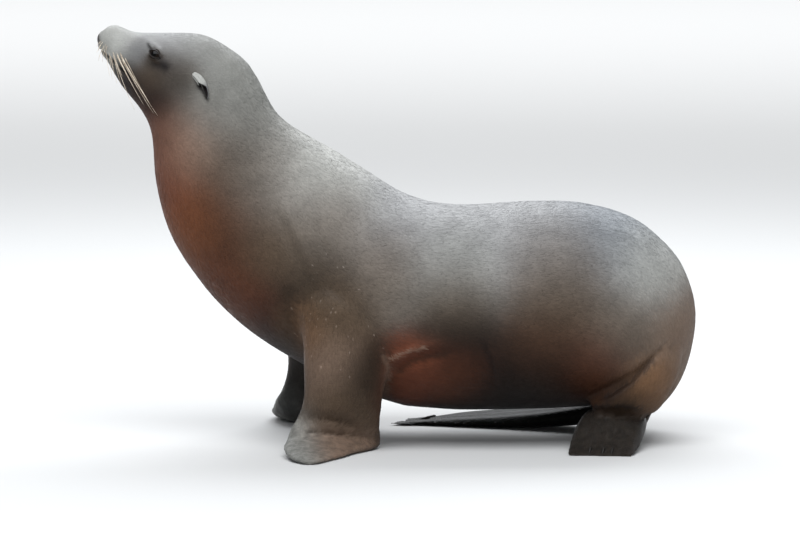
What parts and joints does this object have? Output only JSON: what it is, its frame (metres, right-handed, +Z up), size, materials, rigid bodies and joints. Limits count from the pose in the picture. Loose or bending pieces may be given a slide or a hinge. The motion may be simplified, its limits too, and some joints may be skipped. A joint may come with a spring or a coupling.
{
  "type": "sea lion",
  "caption": "Life-size still model of a wet sea lion sitting up on its fore flippers with its neck stretched and snout raised, one hind flipper folded beside it and one under the belly.",
  "frame": {"origin": "on the floor, under the middle of the animal's bounding box", "axes": "+Z up; the snout points to -X and the tail to +X; the animal's left side faces -Y and its right side +Y"},
  "size_m": [1.1376, 0.7, 0.7888],
  "materials": {
    "fur": "short wet fur, glossy, grey-brown above and reddish brown below",
    "flipper_skin": "wet bare skin, dark slate grey, finely creased",
    "nose_skin": "moist bare skin, near black",
    "eye": "very dark brown, clear and wet",
    "claw": "dark horn",
    "whisker": "stiff cream-brown bristle"
  },
  "bodies": {
    "root": {"head": "fur", "lower_jaw": "fur", "neck": "fur", "chest": "fur", "belly": "fur", "rump": "fur", "tail": "fur", "nose": "nose_skin", "eye_left": "eye", "ear_left": "fur", "fore_arm_left": "fur", "fore_flipper_left": "flipper_skin", "hind_leg_left": "fur", "hind_flipper_left": "flipper_skin", "claw_left_2": "claw", "claw_left_3": "claw", "claw_left_4": "claw", "eye_right": "eye", "ear_right": "fur", "fore_arm_right": "fur", "fore_flipper_right": "flipper_skin", "hind_leg_right": "fur", "hind_flipper_right": "flipper_skin", "claw_right_2": "claw", "claw_right_3": "claw", "claw_right_4": "claw"}
  },
  "joints": []
}
